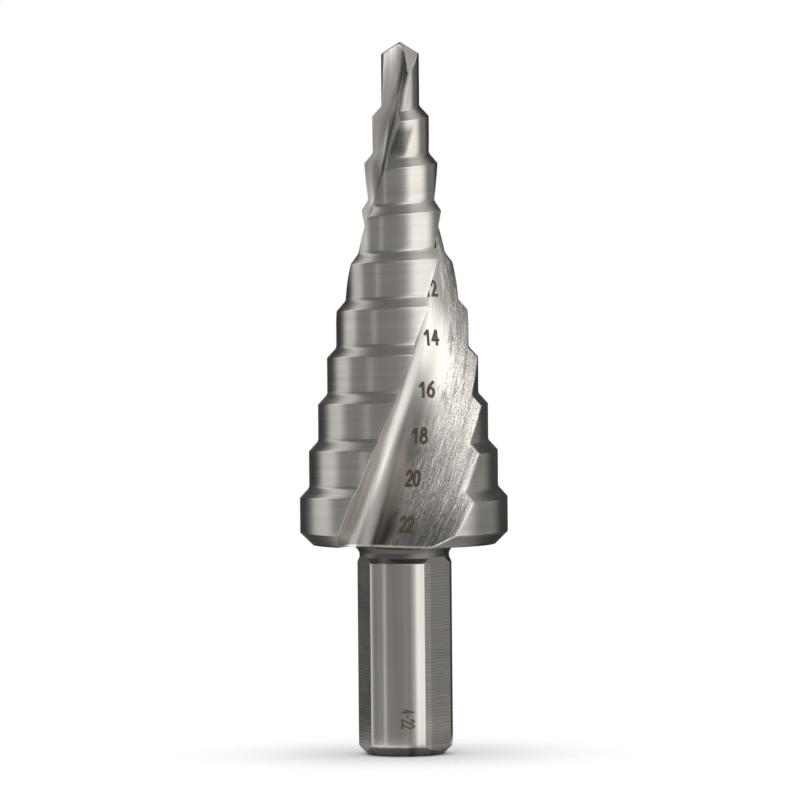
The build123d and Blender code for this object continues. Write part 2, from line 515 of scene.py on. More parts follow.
def edge_wear_and_highlight(given):
    """Bright metal along the edges, partly real burnish and partly painted highlight: the
    mesh's value for bright edges x patchy noise from 0.35 to 1 x the amount."""
    patches = noise(given["Vector"], 1400.0, 3.0)
    broken = ranged(patches, 0.3, 0.65, 0.35, 1.0)
    burnished_and_lit = times(named_value(patches.id_data, "edge_wear_and_highlight"), broken)
    return {"Wear_And_Highlight": times(burnished_and_lit, given["Amount"], clamp=True)}


def handling_haze(given):
    """Cloudy patches a few millimetres wide, as oil and handling leave on bare steel, and
    the finest specks."""
    cloud = noise(given["Vector"], given["Size"], 3.0)
    pits = noise(given["Vector"], 2600.0, 1.0)
    haze = ranged(cloud, 0.32, 0.7, smooth=True)
    return {"Haze": haze, "Specks": ranged(pits, 0.68, 0.76)}


def rough_skin(given):
    """Grain of a wall that was left rough, strongest where the mesh's rough skin value is
    high. The height is grain + 0.5 x lines, where the lines are torn ridges less cuts.
    The shade is 1 + specks + 0.3 x lines, and is 1 on average."""
    patches = ranged(noise(given["Vector"], 420.0, 2.0), 0.3, 0.7, -0.25, 0.25)
    amount = plus(named_value(patches.id_data, "rough_skin"), patches)
    mask = ranged(amount, 0.25, 0.75, smooth=True)
    grain = noise(given["Vector"], given["Grain Size"], 2.0, 0.7)
    path = drawn_out(given["Own Map"], 2.6, 0.3)
    torn = noise(path, 1.0, 4.0, 0.7, flat=True)
    cuts = ranged(torn, 0.56, 0.66)
    ridges = ranged(torn, 0.34, 0.44, 1.0, 0.0)
    lines = times(maths("SUBTRACT", ridges, cuts), ranged(amount, 0.0, 0.35))
    specks = times(ranged(grain, 0.3, 0.7, -0.42, 0.42), mask)
    return {
        "Height": plus(times(grain, mask), times(lines, 0.5)),
        "Mask": mask,
        "Shade": plus(plus(specks, 1.0), times(lines, 0.3)),
    }


def cutter_lines(given):
    """Even, slightly wavy lines that a milling cutter leaves: 0.5 + 0.5 x sin(2 pi x
    distance / spacing), where the distance wanders by up to 0.09 mm."""
    own_map = given["Own Map"]
    along = node(own_map.id_data, "SeparateXYZ", {0: own_map}).outputs[1]
    wander = noise(own_map, 0.35, 1.0, flat=True)
    moved = plus(along, ranged(wander, 0.3, 0.7, -0.09, 0.09))
    turns = maths("DIVIDE", moved, given["Spacing"])
    wave = maths("SINE", times(turns, 2 * math.pi))
    return {"Lines": ranged(wave, -1.0, 1.0)}


MARKS = new_group(
    "grinding marks", {"Vector": None, "Lines Across": 8.0, "Lines Along": 0.2},
    grinding_marks,
)
WEAR_AND_HIGHLIGHT = new_group("edge wear", {"Vector": None, "Amount": 0.6}, edge_wear_and_highlight)
HAZE = new_group("handling haze", {"Vector": None, "Size": 160.0}, handling_haze)
SKIN = new_group(
    "rough skin", {"Vector": None, "Own Map": None, "Grain Size": 7000.0}, rough_skin
)
CUTTER = new_group("cutter lines", {"Own Map": None, "Spacing": 0.4}, cutter_lines)

DARK_TINT = (1.0, 0.942, 0.868)
LIGHT_TINT = (1.0, 0.957, 0.9)
STAIN_TINT = (1.0, 0.92, 0.82)
BURNISH_AND_HIGHLIGHT_GREY = 0.82

# Share of the broad bands in the grinding lines, and of the cutter's lines where it
# milled; greatest share of stain and its darkening; what haze, scratches and specks do
BAND_SHARE = 0.5
CUTTER_SHARE = 0.6
CUTTER_HEIGHT = 0.5
STAIN_SHARE = 0.16
STAIN_DARKENING = 0.8
SPECK_DEPTH = 0.4
HAZE_ROUGHENING = 0.2
LINE_ROUGHENING = 0.25
BASE_ROUGHNESS = 0.9
WORN_ROUGHNESS = 0.8
SKIN_ROUGHNESS = 1.25


def tinted(grey, tint):
    """A grey value as a colour with a tint."""
    return (*(grey * part for part in tint), 1.0)


def new_material(name):
    """A material, its node tree and its main shader."""
    material = bpy.data.materials.new(name)
    material.use_nodes = True
    return material, material.node_tree, material.node_tree.nodes["Principled BSDF"]


def steel(name, dark, light, rough, across, along, bump, aniso=0.0, turn=0.0,
          scratch=0.0, skin=0.0, cutter=0.0):
    """Bare ground steel, a little warm. The grinding marks shade the colour between dark
    and light, change the roughness and lift the surface; haze and bright edges, partly
    burnish and partly painted highlight, lie over them. Colour x (1 + the mesh's painted
    light and shade) is what is seen."""
    material, tree, shader = new_material(name)
    place = object_place(tree)
    own_map = node(tree, "UVMap", uv_map=OWN_MAP).outputs[0]
    marks = use_group(
        tree, MARKS, {"Vector": own_map, "Lines Across": across, "Lines Along": along}
    )
    burnish_and_highlight = use_group(tree, WEAR_AND_HIGHLIGHT, {"Vector": place})["Wear_And_Highlight"]
    haze = use_group(tree, HAZE, {"Vector": place})
    fine = marks["Fine"]

    lines = times(ranged(marks["Bands"], 0.3, 0.7), BAND_SHARE)
    lines = plus(lines, times(fine, 1 - BAND_SHARE), clamp=True)
    height = maths("SUBTRACT", fine, times(haze["Specks"], SPECK_DEPTH))
    if cutter:
        milled = use_group(tree, CUTTER, {"Own Map": own_map, "Spacing": cutter})["Lines"]
        even = times(milled, CUTTER_SHARE)
        lines = plus(times(lines, 1 - CUTTER_SHARE), even)
        height = plus(height, times(milled, CUTTER_HEIGHT))
    if scratch:
        height = maths("SUBTRACT", height, times(marks["Scratch"], scratch))
    colour = mixed(lines, tinted(dark, DARK_TINT), tinted(light, LIGHT_TINT))
    colour = mixed(times(haze["Haze"], STAIN_SHARE), colour,
                   tinted(STAIN_DARKENING * dark, STAIN_TINT))

    uneven = times(ranged(fine, 0.25, 0.75, -0.5, 0.5), LINE_ROUGHENING)
    uneven = plus(uneven, times(haze["Haze"], HAZE_ROUGHENING))
    roughness = times(plus(uneven, BASE_ROUGHNESS), rough, clamp=True)
    roughness = times(roughness, ranged(burnish_and_highlight, 0.0, 1.0, 1.0, WORN_ROUGHNESS))
    if skin:
        grain = use_group(tree, SKIN, {"Vector": place, "Own Map": own_map})
        colour = scaled_colour(colour, grain["Shade"])
        height = plus(height, times(grain["Height"], skin))
        dulled = ranged(grain["Mask"], 0.0, 1.0, 1.0, SKIN_ROUGHNESS)
        roughness = times(roughness, dulled)
    # Bright edges: burnish and painted highlight
    colour = mixed(burnish_and_highlight, colour, tinted(BURNISH_AND_HIGHLIGHT_GREY, LIGHT_TINT))
    # Painted light and shade that the mesh carries: colour x (1 + its change)
    painted_light = plus(named_value(tree, "painted_light_change"), 1.0)
    links = {"Height": height, "Strength": 1.0, "Distance": bump * MM}
    relief = node(tree, "Bump", links)
    fill(shader, {
        "Metallic": 1.0, "Anisotropic": aniso, "Anisotropic Rotation": turn,
        "Base Color": scaled_colour(colour, painted_light), "Roughness": roughness,
        "Normal": relief.outputs[0],
    })
    if aniso:
        tangent = node(tree, "Tangent", direction_type="UV_MAP", uv_map=OWN_MAP)
        fill(shader, {"Tangent": tangent.outputs[0]})
    return material


# Name, dark and light grey, roughness, grinding lines per millimetre across and along the
# surface's own map, depth of the marks
LAND, CHAMFER, RAKE, ROOT, WIDE, POINT, BACK, RIM = range(8)
head_steels = [
    steel("land_steel", 0.48, 0.6, 0.24, 6.0, 0.12, 0.0008, aniso=0.5, turn=0.25),
    steel("chamfer_steel", 0.4, 0.56, 0.3, 7.0, 0.15, 0.0014, aniso=0.4, turn=0.25),
    steel("rake_wall_steel", 0.48, 0.6, 0.42, 0.15, 5.0, 0.001),
    steel("flute_root_steel", 0.48, 0.6, 0.3, 0.1, 6.0, 0.001),
    steel("wide_face_steel", 0.48, 0.68, 0.25, 0.12, 5.5, 0.004,
          aniso=0.3, scratch=0.6, skin=9.0),
    steel("point_flank_steel", 0.19, 0.27, 0.32, 0.8, 7.0, 0.001),
    # The back face and the back chamfer are darker copies of the same steel: painted
    # shade on the underside of the head
    steel("back_face_painted_shade_steel", 0.17, 0.27, 0.32, 7.0, 0.2, 0.0015),
    steel("back_chamfer_painted_shade_steel", 0.36, 0.54, 0.3, 7.0, 0.15, 0.0012),
]

# Head: back face, steps, flutes and point -------

# Rows of the grid: rings on the back face, along each stretch of the profile, up the
# smallest land to the point, and on the point down to a small circle round the apex
BACK_RINGS = 14
BACK_CHAMFER_ROWS = 6
LAND_ROWS = 11
CHAMFER_ROWS = 5
LAST_RELIEF_ROWS = 4
TIP_ROWS = 34
POINT_RINGS = 26
APEX_CIRCLE = 0.06
# Relief of the steps: angle of a land, and on the smallest land the height above its
# chamfer where it has faded to this part
LAND_ANGLE = 110.0
LAST_RELIEF = (1.2, 0.6)
SETTLING_TURNS = 30

chamfers = STEP_COUNT - 1
largest = SMALLEST_RADIUS + RADIAL_STEP * chamfers
corners = [
    (BACK_HEIGHT + FACE_BEVEL, largest - BACK_CHAMFER[0] + FACE_BEVEL, 0.0),
    (BACK_HEIGHT + BACK_CHAMFER[1], largest, 0.0),
]
for index in range(chamfers):
    ring, radius = LARGEST_RING + STEP_PITCH * index, largest - RADIAL_STEP * index
    corners.append((ring, radius, 1.0))
    corners.append((ring + CHAMFER_HEIGHT, radius - RADIAL_STEP, 1.0))
corners.append((corners[-1][0] + LAST_RELIEF[0], SMALLEST_RADIUS, LAST_RELIEF[1]))
counts = [BACK_CHAMFER_ROWS, *[LAND_ROWS, CHAMFER_ROWS] * chamfers, LAST_RELIEF_ROWS]
rounds = [0.0, RING_ROUND, *[RING_ROUND, VALLEY_ROUND] * chamfers, 0.0]
profile, bands = rounded(corners, counts, rounds)

lower = profile[:, :1] - RELIEF_DROP * profile[:, 2:] * fall_shares(LAND_ANGLE)[None, :]
steps = half_turn(lower, profile[:, 1])

# Height of the point over each column of the smallest land, found by settling, because
# the columns move round the axis with the height
top = np.full((1, HALF_COLUMNS), OVERALL - 2.0)
tip_radius = np.array([SMALLEST_RADIUS])
for _ in range(SETTLING_TURNS):
    top = 0.5 * top + 0.5 * point_height(half_turn(top, tip_radius)[..., :2])
rise = np.linspace(0, 1, TIP_ROWS + 1)[1:, None]
upper = lower[-1:] + (top - lower[-1:]) * rise
tip = half_turn(upper, np.full(TIP_ROWS, SMALLEST_RADIUS))
wall = whole_turn(np.concatenate([steps, tip]))

outline = wall[0, :, :2]
back_rings = inward(outline, NECK_RADIUS + NECK_FLARE, BACK_RINGS)[::-1]
toward_centre = back_rings[-1] - outline
toward_centre /= np.linalg.norm(toward_centre, axis=1)[:, None]
back_rings[-1] = outline + toward_centre * FACE_BEVEL
point_rings = inward(wall[-1, :, :2], APEX_CIRCLE, POINT_RINGS)
point = lifted(point_rings, point_height(point_rings))
grid = np.concatenate([lifted(back_rings, BACK_HEIGHT), wall, point])
rows, columns = grid.shape[:2]
wall_first, wall_end = BACK_RINGS, BACK_RINGS + len(wall)
profile_end = wall_first + len(profile)
chamfer_end = wall_first + BACK_CHAMFER_ROWS + 1

# The fillet's first columns are as dull as the rake wall
DULL_FILLET_COLUMNS = round(0.42 * FILLET_COLUMNS)
half_regions = np.repeat(
    [RAKE, ROOT, WIDE, LAND],
    [RAKE_COLUMNS + DULL_FILLET_COLUMNS, FILLET_COLUMNS - DULL_FILLET_COLUMNS,
     WIDE_COLUMNS, LAND_COLUMNS],
)
regions = np.tile(half_regions, 2)
on_land = regions == LAND
face_region = np.tile(regions, (rows - 1, 1))
is_chamfer = np.zeros(rows - 1, dtype=bool)
is_chamfer[wall_first:profile_end - 1] = bands[:-1] % 2 == 0
face_region[np.ix_(is_chamfer, on_land)] = CHAMFER
face_region[:chamfer_end, on_land] = RIM
face_region[:wall_first] = BACK
face_region[wall_end - 1:] = POINT

# The head's own map: across, the way round from where each root fillet is deepest, or
# the arc on a land; along, the height, or the way up the profile on a land
SECOND_FLUTE_OFFSET = 40.0
side_step = np.diff(grid[..., :2], axis=1, append=grid[:, :1, :2])
across = np.roll(np.cumsum(np.linalg.norm(side_step, axis=2), axis=1), 1, axis=1)
across[:, 0] = 0
for first, offset in ((0, 0.0), (HALF_COLUMNS, SECOND_FLUTE_OFFSET)):
    middle = across[:, [first + DEEPEST_COLUMN]] - offset
    across[:, first:first + HALF_COLUMNS] -= middle
along = run_along(grid)
along[wall_first:] = grid[wall_first:, :, 2]
profile_run = run_along(profile[:, :2])
tip_run = profile_run[-1] + grid[profile_end:, :, 2] - grid[profile_end - 1, :, 2]
along[wall_first:profile_end, on_land] = profile_run[:, None]
along[profile_end:, on_land] = tip_run[:, on_land]
from_axis = np.hypot(grid[..., 0], grid[..., 1])
land_turn = np.arctan2(grid[..., 1], grid[..., 0])[:, on_land]
across[:, on_land] = np.unwrap(land_turn, axis=1) * from_axis[:, on_land]
head_map = np.stack([across, along], axis=-1)
head_map[wall_end:] = grid[wall_end:, :, :2]
head_map[:wall_first, :, 1] = from_axis[:wall_first]

# Bright edges, partly burnish and partly painted highlight: along the cutting edges, the
# heels and the rings of the steps, by column and by height
level = grid[..., 2]
heels = [first + HEEL_COLUMN + i for first in (0, HALF_COLUMNS) for i in (-1, 0)]
edge_columns = np.zeros(HALF_COLUMNS)
edge_columns[[0, 1, -1, -2]] = (1.0, 0.35, 1.0, 0.3)
edge_columns[[HEEL_COLUMN - 1, HEEL_COLUMN]] = 0.6
edge = np.tile(edge_columns, (rows, 2))
edge[:, heels] *= np.interp(level[:, heels], [28, 34, 52, 57], [1.6, 1.0, 1.0, 0.2])
for leading in (0, HALF_COLUMNS):
    burnished_and_lit = np.interp(level[:, [leading]], [30, 38], [0.25, 1.0])
    edge[:, [leading - 1, leading]] *= burnished_and_lit
edge[wall_first] = np.where(on_land, 0.0, 1.0)
edge[wall_end - 1] = 0.9
is_ring = (bands[1:-1] % 2 == 1) & (bands[2:] % 2 == 0)
edge[np.ix_(wall_first + 1 + np.flatnonzero(is_ring), on_land)] = 0.6

# Place across the flute, by column: 0 to 1 on the rake wall, to 2 on the root fillet, to
# 3 on the wide wall and to 4 on the land
place = np.tile(np.concatenate([i + part for i, part in enumerate(SHARES)]), 2)

# Rough skin on the outer part of the wide wall: the place where it starts, by height
SKIN_START = ([24.0, 30.0, 38.0, 47.0, 52.0], [2.12, 2.2, 2.4, 2.5, 2.25])
SKIN_SOFTNESS = 0.3
SKIN_LEAD = 0.15
skin = np.clip((place - np.interp(level, *SKIN_START)) / SKIN_SOFTNESS + SKIN_LEAD, 0, 1)
skin = np.where(place > 3, 0, skin)

# Painted light and shade on the head, in patches: painted shade in the corners of the
# flutes, where the flutes' own walls shade them, painted light on the rake side near the
# tip, and both on the wide wall and on the lands. Each fades over its softness.
PAINTED_LIGHT_PATCHES = (
    # place from, to, softness, height from, to, softness, change
    (1.9, 2.22, 0.22, 10, 31, 15, -0.72),
    (1.6, 1.86, 0.14, 10, 32, 6, 0.75),
    (1.4, 1.58, 0.14, 18, 33, 5, -0.35),
    (1.1, 1.4, 0.2, 10, 24, 4, -0.3),
    (1.85, 2.35, 0.2, 33, 42, 4, -0.18),
    (2.15, 3.2, 0.3, 5, 26, 4, -0.5),
    (2.25, 2.9, 0.3, 35, 42, 6, 0.15),
    (2.65, 3.2, 0.3, 39, 51, 6, -0.18),
    (2, 2.6, 0.3, 49.5, 58, 4, 0.6),
    (2.55, 2.9, 0.2, 52, 58, 3, 0.6),
    (-0.5, 1.3, 0.4, 55, 71, 4, 0.4),
    (-0.5, 1.05, 0.2, 50, 61, 4, 0.35),
    (1.1, 1.6, 0.2, 52, 62, 5, -0.8),
    (1.1, 1.5, 0.2, 61, 67, 3, -0.25),
    (1.6, 2.1, 0.2, 52, 68, 4, -0.84),
    (1.72, 2.1, 0.15, 68, 75, 3, -0.6),
    (1.1, 1.62, 0.2, 70.5, 90, 4, 0.7),
    (2.1, 3, 0.3, 55, 69, 5, -0.35),
    (2.1, 3.1, 0.3, 69, 90, 5, -0.72),
    (3, 3.35, 0.25, 18, 40, 6, 0.35),
    (3, 3.5, 0.3, 10, 23.5, 0.2, -0.36),
    (2.86, 2.99, 0.06, 50, 60, 3, -0.4),
    (3, 3.33, 0.1, 63.5, 66.3, 1, -0.6),
    (3.15, 3.7, 0.1, 68.2, 90, 1, -0.35),
)
# Painted light and shade on the bevel round the back face: painted shade on the lands and
# a painted highlight in the flutes; and a painted highlight on the heels beside the back
# chamfer
BEVEL_PAINTED_LIGHT = (-0.4, 0.5)
HEEL_PAINTED_HIGHLIGHT = 0.6

# Painted light and shade, summed from the patches
painted_light = np.zeros(level.shape)
for first, last, side_soft, low, high, end_soft, change in PAINTED_LIGHT_PATCHES:
    side = soft_window(place, first, last, side_soft)[None, :]
    painted_light += change * side * soft_window(level, low, high, end_soft)
painted_light[wall_end:] = 0
painted_light[wall_first - 1:wall_first + 1] = np.where(on_land, *BEVEL_PAINTED_LIGHT)
painted_light[wall_first:chamfer_end, heels] = HEEL_PAINTED_HIGHLIGHT

last_ring = (rows - 1) * columns + np.arange(columns)
ground_piece(
    "fluted_head", grid, ((0.0, 0.0, OVERALL), last_ring, POINT),
    head_steels, face_region, head_map,
    {"edge_wear_and_highlight": (edge, 0.5), "rough_skin": (skin, 0.0), "painted_light_change": (painted_light, 0.0)},
)

# Shank and neck ---------------------------------

SHANK_ROUND, SHANK_FLAT, NECK, END_FACE = range(4)
shank_steels = [
    steel("shank_round_steel", 0.46, 0.59, 0.115, 0.06, 2.6, 0.0006),
    steel("shank_flat_steel", 0.34, 0.52, 0.32, 5.0, 0.25, 0.004,
          scratch=0.4, cutter=0.32),
    steel("neck_steel", 0.13, 0.21, 0.36, 6.0, 0.15, 0.0015),
    steel("shank_end_steel", 0.26, 0.38, 0.33, 6.0, 0.2, 0.0015),
]

END_CENTRE = 0.05
SHANK_ROWS = (14, 16, 64, 6, 8)
FLARE_ROWS = 11
FLAT_COLUMNS = 34
ROUND_COLUMNS = 40
FLAT_RUNOUT = 0.03
FLAT_EDGE_WEAR = (0.08, 0.3)
RIM_WEAR = (0.06, 0.6)

# Painted reflections along the round, as darker and brighter stripes at fixed studio
# angles: studio angle from, to, softness, change
SHANK_PAINTED_REFLECTIONS = ((4, 13.5, 5, -0.4), (25, 36, 5, 0.35), (-36, -21, 5, 0.15))
# The flats are darker towards the shank's end
LOW_SHADE = 0.45
LOW_SHADE_HEIGHTS = (0.6, 3.6)

shank_corners = [
    (0.0, END_CENTRE, 0), (0.0, SHANK_RADIUS - END_CHAMFER, 0),
    (END_CHAMFER, SHANK_RADIUS, 0), (SHANK_LENGTH, SHANK_RADIUS, 0),
    (SHANK_LENGTH + NECK_SHOULDER, NECK_RADIUS, 0),
    (BACK_HEIGHT - NECK_FLARE, NECK_RADIUS, 0),
]
shank_profile, shank_bands = rounded(
    shank_corners, SHANK_ROWS, [0, EDGE_ROUND, EDGE_ROUND, EDGE_ROUND, EDGE_ROUND, 0]
)
# The flare from the neck to the back face
pull = NECK_FLARE / 2 - 2 * NECK_FLARE_BOW
flare_end = np.array([BACK_HEIGHT, NECK_RADIUS + NECK_FLARE, 0])
flare_corner = np.array([BACK_HEIGHT - pull, NECK_RADIUS + pull, 0])
flare_share = np.linspace(0, 1, FLARE_ROWS + 1)[1:, None]
flare = quadratic(shank_profile[-1], flare_corner, flare_end, flare_share)
shank_profile = np.concatenate([shank_profile, flare])
shank_bands = np.append(shank_bands, np.full(FLARE_ROWS, 5))
# Two rows on the neck where the flats run out
above = np.searchsorted(shank_profile[:, 0], FLAT_TOP)
flat_end = [[FLAT_TOP - FLAT_RUNOUT, NECK_RADIUS, 0], [FLAT_TOP, NECK_RADIUS, 0]]
shank_profile = np.insert(shank_profile, above, flat_end, axis=0)
shank_bands = np.insert(shank_bands, above, [4, 4])

flat_half = math.degrees(math.acos(FLAT_DISTANCE / SHANK_RADIUS))
bevel = math.degrees(EDGE_ROUND / SHANK_RADIUS)
third = np.concatenate(
    [
        np.linspace(-flat_half + bevel, flat_half - bevel, FLAT_COLUMNS),
        np.linspace(flat_half + bevel, 120 - flat_half - bevel, ROUND_COLUMNS),
    ]
)
azimuths = np.concatenate([FIRST_FLAT + 120 * i + third for i in range(3)])
on_flat = np.tile(np.arange(len(third)) < FLAT_COLUMNS, 3)
from_middle = np.tile(third, 3)
reach = FLAT_DISTANCE / np.maximum(np.cos(np.radians(from_middle)), 0.2)
height, radius = shank_profile[:, :1], shank_profile[:, 1:2]
below_top = height < FLAT_TOP - 0.01
radius_here = np.minimum(radius, np.where(below_top, reach[None, :], np.inf))
shank_grid = lifted(scaled(radius_here, heading(azimuths)), height)

is_flat = radius_here < radius - 1e-6
is_flat = is_flat[:-1] & is_flat[1:]
is_flat &= np.roll(is_flat, -1, axis=1)
row_steel = np.array([END_FACE, NECK, SHANK_ROUND, NECK, NECK, NECK])[shank_bands[:-1]]
shank_region = np.where(is_flat, SHANK_FLAT, row_steel[:, None])

around = np.radians(azimuths - azimuths[0]) * SHANK_RADIUS
shank_map = np.stack(np.meshgrid(around, run_along(shank_profile[:, :2])), axis=-1)

edge_distance = np.abs(np.abs(from_middle) - flat_half) * math.radians(SHANK_RADIUS)
by_edge = (edge_distance < FLAT_EDGE_WEAR[0]) & (height < SHANK_LENGTH + 0.1)
shank_edge = np.where(by_edge, FLAT_EDGE_WEAR[1], 0.0)
by_rim = np.abs(height - END_CHAMFER) < RIM_WEAR[0]
shank_edge = np.where(by_rim, RIM_WEAR[1], shank_edge)

shank_angle = near(azimuths + 90, 0)
# Painted reflections as stripes along the round, and the flats darker towards the shank's
# end
shank_painted_light = np.zeros(radius_here.shape)
for first, last, softness, change in SHANK_PAINTED_REFLECTIONS:
    shank_painted_light += change * soft_window(shank_angle, first, last, softness)[None, :]
shank_painted_light -= LOW_SHADE * (1 - ramp(height, *LOW_SHADE_HEIGHTS)) * on_flat
shank_painted_light = np.where(height < SHANK_LENGTH, shank_painted_light, 0.0)

first_ring = np.arange(len(azimuths))[::-1]
ground_piece(
    "shank_and_neck", shank_grid, ((0.0, 0.0, 0.0), first_ring, END_FACE),
    shank_steels, shank_region, shank_map,
    {"edge_wear_and_highlight": (shank_edge, 0.0), "painted_light_change": (shank_painted_light, 0.0)},
)

# Laser marks ------------------------------------

# Step sizes on the flute's wide wall: text, and the middle's place to the right of the
# axis and above the shank's end. The shank carries the range of sizes, reading downwards.
NUMERALS = (
    ("10", 3.15, 54.4),
    ("12", 3.04, 49.37),
    ("14", 3.08, 44.25),
    ("16", 2.55, 38.8),
    ("18", 1.76, 33.97),
    ("20", 0.99, 29.52),
    ("22", 0.27, 24.75),
)
NUMERAL_SIZE = (1.72, 1.78)
NUMERAL_STROKE = 0.3
RANGE_TEXT = "4-22"
RANGE_SIZE = (2.1, 1.45)
RANGE_STROKE = 0.17
RANGE_HEIGHT = 4.05
RANGE_ANGLE = 3.0
MARK_LIFT = 0.012
MARK_CELL = 0.1
MARK_GRAIN = 5200.0


def bow(centre, reach, start, end):
    """Part of an ellipse between two angles in degrees."""
    return centre + heading(np.linspace(start, end, 25)) * reach


# Strokes of each sign in a cell 0.6 wide and 1 high
GLYPHS = {
    "0": [bow((0.3, 0.5), (0.3, 0.5), 90, 450)],
    "1": [[(0.08, 0.74), (0.38, 1.0), (0.38, 0.0)]],
    "2": [[*bow((0.3, 0.7), (0.28, 0.3), 165, -30), (0.02, 0.0), (0.6, 0.0)]],
    "4": [[(0.44, 0.0), (0.44, 1.0), (0.0, 0.3), (0.6, 0.3)]],
    "6": [[(0.5, 1.0), *bow((0.55, 0.3), (0.54, 0.6), 120, 175)],
          bow((0.3, 0.3), (0.29, 0.3), 180, 540)],
    "8": [bow((0.3, 0.76), (0.23, 0.24), 90, 450),
          bow((0.3, 0.27), (0.3, 0.27), 90, 450)],
    "-": [[(0.1, 0.45), (0.5, 0.45)]],
}
GLYPH_ADVANCE = 0.86
SHARPEST_MITRE = 0.8


def mark_steel():
    """Dark brown oxide left by a marking laser. Each stroke is burnt darkest along its
    sides and paler in the middle, and is uneven where the beam ran thin."""
    material, tree, shader = new_material("laser_mark_brown")
    patches = noise(object_place(tree), MARK_GRAIN, 2.0)
    thin = ranged(patches, 0.3, 0.7, -0.35, 0.25)
    burnt = maths("SUBTRACT", named_value(tree, "burnt"), thin, clamp=True)
    brown = mixed(burnt, (0.17, 0.12, 0.075, 1), (0.018, 0.012, 0.009, 1))
    fill(shader, {"Metallic": 0.4, "Roughness": 0.55, "Base Color": brown})
    return material


def flat_text(text, size, stroke):
    """Points, faces and burnt values of a text centred on the origin that fills a width
    and a height. Every stroke is a ribbon in short lengths, so it can follow a curved
    surface."""
    lines = [
        np.array(line, dtype=float) + (i * GLYPH_ADVANCE, 0)
        for i, sign in enumerate(text)
        for line in GLYPHS[sign]
    ]
    everything = np.concatenate(lines)
    low, high = everything.min(axis=0), everything.max(axis=0)
    points, faces, burnt, count = [], [], [], 0
    for line in lines:
        line = ((line - low) / (high - low) - 0.5) * (np.array(size) - stroke)
        run = run_along(line)
        stops = np.unique(np.append(run, np.arange(0, run[-1], MARK_CELL)))
        path = np.stack([np.interp(stops, run, line[:, k]) for k in (0, 1)], axis=-1)
        steps = np.diff(path, axis=0)
        steps = steps / np.linalg.norm(steps, axis=1)[:, None]
        after = np.concatenate([steps, steps[-1:]])
        along = np.concatenate([steps[:1], steps]) + after
        along = along / np.maximum((along * after).sum(axis=1), SHARPEST_MITRE)[:, None]
        side = np.stack([-along[:, 1], along[:, 0]], axis=-1) * stroke / 2
        path[0] -= steps[0] * stroke / 2
        path[-1] += steps[-1] * stroke / 2
        points.append(np.stack([path - side, path, path + side], axis=1).reshape(-1, 2))
        burnt.append(np.tile([1.0, 0.0, 1.0], len(path)))
        first = count + 3 * np.arange(len(path) - 1)
        for k in (0, 1):
            corners = [first + k, first + 3 + k, first + 4 + k, first + 1 + k]
            faces += np.stack(corners, axis=-1).tolist()
        count += 3 * len(path)
    return np.concatenate(points), faces, np.concatenate(burnt)


def on_wide_wall(flat, across, height):
    """Places a flat text on the wide wall: upright, its width measured along the wall's
    horizontal tangent at the middle, each point moved along that tangent's normal on to
    the crown arc at its own height, or on to the root fillet where the arc has ended."""
    middle = Flute(np.array([height]))
    reach = math.sqrt(WIDE_CROWN**2 - (across - middle.crown[0, 0]) ** 2)
    centre = np.array([across, middle.crown[0, 1] - reach])
    facing = bearing(centre - middle.crown[0])
    normal, tangent = heading(facing), heading(facing + 90)
    at = Flute(height + flat[:, 1])
    reached = (centre @ tangent + flat[:, 0] - at.crown @ tangent) / WIDE_CROWN
    turn = near(facing + 90 - np.degrees(np.arccos(reached)), at.toward)
    plane = at.crown + (WIDE_CROWN + MARK_LIFT) * heading(turn)
    offset = plane - at.fillet_centre
    sunk, arc = offset @ normal, at.fillet - MARK_LIFT
    rise = -sunk - np.sqrt(np.maximum(sunk**2 - (offset**2).sum(axis=1) + arc**2, 0))
    plane += scaled(np.where(turn < at.toward, rise, 0), normal)
    return lifted(plane, height + flat[:, 1])


def on_shank(flat, angle, height):
    """Places a flat text on the round of the shank, reading downwards."""
    turn = angle - 90 + np.degrees(flat[:, 1] / SHANK_RADIUS)
    return lifted((SHANK_RADIUS + MARK_LIFT) * heading(turn), height - flat[:, 0])


BURNT_STEEL = mark_steel()


def mark(name, text, size, stroke, placing, across, height):
    """A burnt text as its own thin piece of the drill."""
    flat, faces, burnt = flat_text(text, size, stroke)
    points = placing(flat, across, height)
    return on_object(new_piece(name, points, faces, [BURNT_STEEL], {"burnt": burnt}))


for text, across, height in NUMERALS:
    mark("size_mark_" + text, text, NUMERAL_SIZE, NUMERAL_STROKE,
         on_wide_wall, across, height)
mark("size_range_mark", RANGE_TEXT, RANGE_SIZE, RANGE_STROKE,
     on_shank, RANGE_ANGLE, RANGE_HEIGHT)

# Studio -----------------------------------------

STUDIO_RADIUS = 1400.0
TARGET = (0.0, 0.0, 37.75)
TENT_COLUMNS = 240
TENT_ROWS = 60
TENT_TOP = 88.0
WHITE = (1.0, 1.0, 1.0, 1.0)

